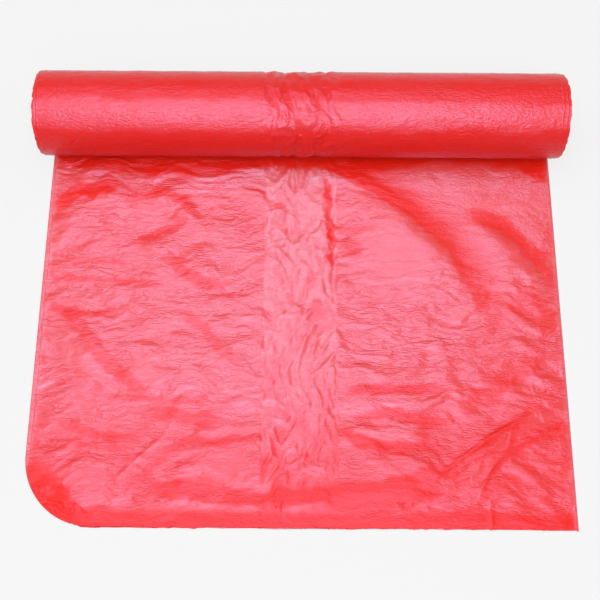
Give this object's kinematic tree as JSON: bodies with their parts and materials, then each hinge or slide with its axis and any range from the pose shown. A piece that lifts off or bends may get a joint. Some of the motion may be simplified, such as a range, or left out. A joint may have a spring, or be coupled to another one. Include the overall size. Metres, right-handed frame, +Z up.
{
  "type": "roll of biohazard waste bags",
  "caption": "Coreless roll of gusseted plastic waste bags, with the leading bag drawn out flat in front of it as far as its torn perforation.",
  "frame": {"origin": "on the floor, at the middle of the footprint of the roll and the drawn-out bag together", "axes": "+X along the roll, +Y towards the back of the roll, the drawn-out bag towards -Y, +Z up"},
  "size_m": [0.549, 0.4666, 0.089],
  "materials": {
    "film": "glossy, slightly translucent red polyethylene film with fine creases"
  },
  "bodies": {
    "root": {"bag_roll": "film"}
  },
  "joints": []
}
